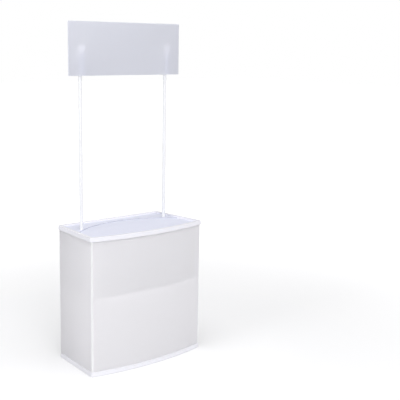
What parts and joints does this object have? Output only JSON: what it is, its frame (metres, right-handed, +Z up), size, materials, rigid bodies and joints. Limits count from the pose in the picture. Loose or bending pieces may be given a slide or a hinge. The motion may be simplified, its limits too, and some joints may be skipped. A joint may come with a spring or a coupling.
{
  "type": "promotion counter",
  "caption": "Knock-down display counter with a bowed translucent front, hinged side leaves, inner shelf, rimmed tray top, and a header board on slim poles.",
  "frame": {"origin": "on the floor, under the centre of the countertop's box", "axes": "+Z up, -Y towards the visitor, out of the bowed front, +X to the right as seen by the visitor"},
  "size_m": [0.8136, 0.4469, 1.9982],
  "materials": {
    "moulded_white": "fine-textured white moulding",
    "wrap_sheet": "satin translucent white sheet",
    "hinge_white": "smooth white extrusion",
    "header_sheet": "satin translucent blue-grey sheet",
    "pole_white": "semi-gloss white powder coat",
    "bare_aluminium": "drawn, unpolished",
    "clip_ivory": "ivory moulding",
    "plug_white": "white moulding",
    "hook_and_loop": "white hook-and-loop pad",
    "foam_tape": "white double-sided foam tape",
    "foot_rubber": "dark grey rubber",
    "grommet_grey": "soft grey plastic",
    "zinc_screw": "zinc plated"
  },
  "bodies": {
    "base": {"base_tray": "moulded_white", "base_feet": "foot_rubber"},
    "wrap": {"front_panel": "wrap_sheet", "front_bracket_tapes": "foam_tape", "left_corner_bead": "hinge_white", "left_front_bracket": "moulded_white", "right_corner_bead": "hinge_white", "right_front_bracket": "moulded_white"},
    "left_leaf": {"left_corner_barrel": "hinge_white", "left_panel": "wrap_sheet", "left_rear_stile": "hinge_white", "left_rear_bracket": "moulded_white", "left_rear_bracket_tape": "foam_tape"},
    "right_leaf": {"right_corner_barrel": "hinge_white", "right_panel": "wrap_sheet", "right_rear_stile": "hinge_white", "right_rear_bracket": "moulded_white", "right_rear_bracket_tape": "foam_tape"},
    "shelf": {"shelf": "moulded_white"},
    "countertop": {"countertop": "moulded_white", "cable_grommet": "grommet_grey", "socket_screws": "zinc_screw", "left_pole_socket": "moulded_white", "right_pole_socket": "moulded_white"},
    "lower_poles": {"left_lower_pole": "pole_white", "left_pole_foot_plug": "plug_white", "right_lower_pole": "pole_white", "right_pole_foot_plug": "plug_white"},
    "upper_poles": {"left_upper_pole": "pole_white", "left_pole_coupler": "bare_aluminium", "left_pole_top_plug": "plug_white", "right_upper_pole": "pole_white", "right_pole_coupler": "bare_aluminium", "right_pole_top_plug": "plug_white"},
    "header": {"header_board": "header_sheet", "left_header_clip": "clip_ivory", "left_header_pad": "hook_and_loop", "right_header_clip": "clip_ivory", "right_header_pad": "hook_and_loop"}
  },
  "joints": [
    {"name": "wrap_lift", "type": "slide", "parent": "base", "child": "wrap", "axis": [0, 0, 1], "range_m": [0, 0.03]},
    {"name": "left_leaf_swing", "type": "hinge", "parent": "wrap", "child": "left_leaf", "pos_m": [-0.39569, -0.16641, 0.41], "axis": [0, 0, 1], "range_deg": [0, 95]},
    {"name": "right_leaf_swing", "type": "hinge", "parent": "wrap", "child": "right_leaf", "pos_m": [0.39569, -0.16641, 0.41], "axis": [0, 0, -1], "range_deg": [0, 95]},
    {"name": "shelf_lift", "type": "slide", "parent": "wrap", "child": "shelf", "axis": [0, 0, 1], "range_m": [0, 0.15]},
    {"name": "countertop_lift", "type": "slide", "parent": "wrap", "child": "countertop", "axis": [0, 0, 1], "range_m": [0, 0.1]},
    {"name": "lower_poles_lift", "type": "slide", "parent": "countertop", "child": "lower_poles", "axis": [0, 0, 1], "range_m": [0, 0.08]},
    {"name": "upper_poles_lift", "type": "slide", "parent": "lower_poles", "child": "upper_poles", "axis": [0, 0, 1], "range_m": [0, 0.06]},
    {"name": "header_lift", "type": "slide", "parent": "upper_poles", "child": "header", "axis": [0, 0, 1], "range_m": [0, 0.04]}
  ]
}
